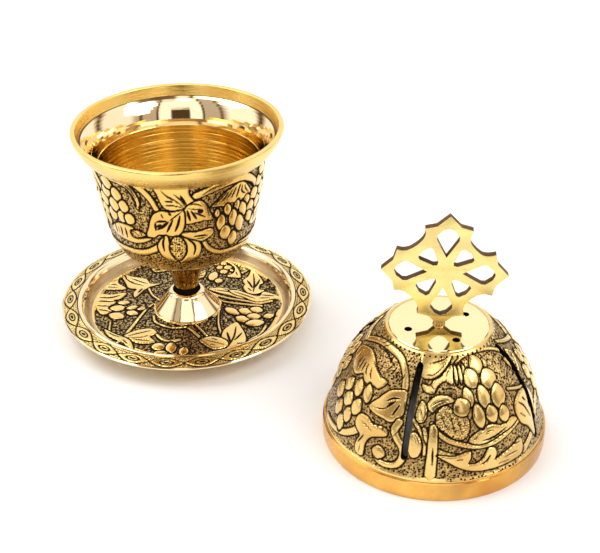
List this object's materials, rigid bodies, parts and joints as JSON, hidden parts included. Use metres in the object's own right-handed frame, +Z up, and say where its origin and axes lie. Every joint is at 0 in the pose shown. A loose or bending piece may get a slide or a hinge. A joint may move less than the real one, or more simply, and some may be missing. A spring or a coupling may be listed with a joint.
{
  "type": "covered table censer",
  "caption": "Stemmed brass cup on a fixed saucer, engraved with vines, with a slotted dome lid and cross finial set down beside it; burns incense on charcoal.",
  "frame": {"origin": "centre of the saucer's foot ring, on the surface that the cup stands on", "axes": "+Z up along the cup's axis; the lid stands on the same surface towards +X and -Y"},
  "size_m": [0.1826, 0.1646, 0.0877],
  "materials": {
    "engraved_brass": "cast and chased relief, dark patina in the recesses, polished high spots",
    "polished_brass": "mirror polished",
    "turned_brass": "turned and brushed, fine lathe lines",
    "fastening_brass": "dull, unpolished"
  },
  "bodies": {
    "cup": {"bowl": "engraved_brass", "stem": "polished_brass", "foot_cone": "polished_brass", "saucer": "engraved_brass", "tie_rod": "fastening_brass", "base_washer": "fastening_brass", "base_nut": "fastening_brass"},
    "lid": {"dome": "engraved_brass", "lid_rim": "turned_brass", "vent_disc": "polished_brass", "cross_finial": "turned_brass", "finial_washer": "fastening_brass", "finial_nut": "fastening_brass"}
  },
  "joints": [
    {"name": "lid_lift", "type": "slide", "parent": "cup", "child": "lid", "axis": [0, 0, 1], "range_m": [0, 0.09]}
  ]
}
